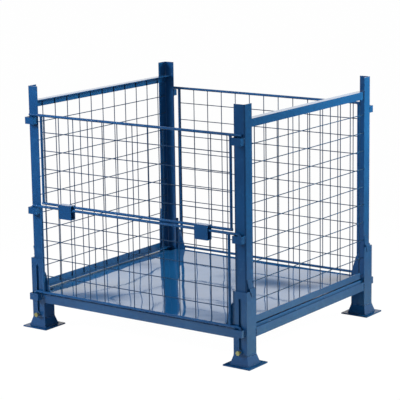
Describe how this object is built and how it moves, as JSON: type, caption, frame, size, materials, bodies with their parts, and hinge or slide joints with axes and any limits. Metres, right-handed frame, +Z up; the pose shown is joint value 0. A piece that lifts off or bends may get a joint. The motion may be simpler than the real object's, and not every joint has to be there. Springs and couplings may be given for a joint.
{
  "type": "wire mesh container",
  "caption": "Collapsible steel wire mesh stillage on bell feet, with lift-up end frames, a removable rear gate and a split front whose upper half gate drops down on hinge loops.",
  "frame": {"origin": "on the ground at the centre of the footprint", "axes": "+X along the front to the right, +Y to the rear, +Z up; the split front gate faces -Y"},
  "size_m": [1.268, 1.118, 1.124],
  "materials": {
    "frame_paint": "gloss blue paint on steel",
    "wire_paint": "gloss blue paint on drawn wire",
    "floor_paint": "high gloss blue paint on sheet, mirror-like at a low angle",
    "zinc_fasteners": "yellow passivated zinc plating"
  },
  "bodies": {
    "base": {"base_keepers": "frame_paint", "floor_bearers": "frame_paint", "floor_sheet": "floor_paint", "foot_front_left": "frame_paint", "foot_front_right": "frame_paint", "foot_rear_left": "frame_paint", "foot_rear_right": "frame_paint", "front_base_rail": "frame_paint", "left_base_rail": "frame_paint", "leg_front_left": "frame_paint", "leg_front_right": "frame_paint", "leg_rear_left": "frame_paint", "leg_rear_right": "frame_paint", "rear_base_rail": "frame_paint", "right_base_rail": "frame_paint"},
    "left_end": {"left_bottom_rail": "frame_paint", "left_front_post": "frame_paint", "left_keepers": "frame_paint", "left_locking_lugs": "frame_paint", "left_mesh_cross_wires": "wire_paint", "left_mesh_uprights": "wire_paint", "left_pivot_bolts": "zinc_fasteners", "left_pivot_nuts": "zinc_fasteners", "left_pivot_washers": "frame_paint", "left_rear_post": "frame_paint", "left_top_rail": "frame_paint"},
    "right_end": {"right_bottom_rail": "frame_paint", "right_front_post": "frame_paint", "right_keepers": "frame_paint", "right_locking_lugs": "frame_paint", "right_mesh_cross_wires": "wire_paint", "right_mesh_uprights": "wire_paint", "right_pivot_bolts": "zinc_fasteners", "right_pivot_nuts": "zinc_fasteners", "right_pivot_washers": "frame_paint", "right_rear_post": "frame_paint", "right_top_rail": "frame_paint"},
    "front_lower_gate": {"lower_gate_bottom_bar": "frame_paint", "lower_gate_mesh_cross_wires": "wire_paint", "lower_gate_mesh_uprights": "wire_paint", "lower_gate_side_bars": "frame_paint", "lower_gate_top_bar": "frame_paint"},
    "front_upper_gate": {"drop_hinge_loops": "frame_paint", "upper_gate_bottom_bar": "frame_paint", "upper_gate_mesh_cross_wires": "wire_paint", "upper_gate_mesh_uprights": "wire_paint", "upper_gate_side_bars": "frame_paint", "upper_gate_top_bar": "frame_paint"},
    "rear_gate": {"rear_gate_bottom_bar": "frame_paint", "rear_gate_mesh_cross_wires": "wire_paint", "rear_gate_mesh_uprights": "wire_paint", "rear_gate_side_bars": "frame_paint", "rear_gate_top_bar": "frame_paint"}
  },
  "joints": [
    {"name": "left_end_lift", "type": "slide", "parent": "base", "child": "left_end", "axis": [0, 0, 1], "range_m": [0, 0.228]},
    {"name": "right_end_lift", "type": "slide", "parent": "base", "child": "right_end", "axis": [0, 0, 1], "range_m": [0, 0.228]},
    {"name": "front_lower_lift", "type": "slide", "parent": "left_end", "child": "front_lower_gate", "axis": [0, 0, 1], "range_m": [0, 0.06]},
    {"name": "front_upper_drop", "type": "hinge", "parent": "front_lower_gate", "child": "front_upper_gate", "pos_m": [0, -0.534, 0.577], "axis": [1, 0, 0], "range_deg": [0, 170]},
    {"name": "rear_gate_lift", "type": "slide", "parent": "left_end", "child": "rear_gate", "axis": [0, 0, 1], "range_m": [0, 0.06]}
  ],
  "couplings": [
    {"joint": "right_end_lift", "follows": "left_end_lift", "ratio": 1}
  ]
}
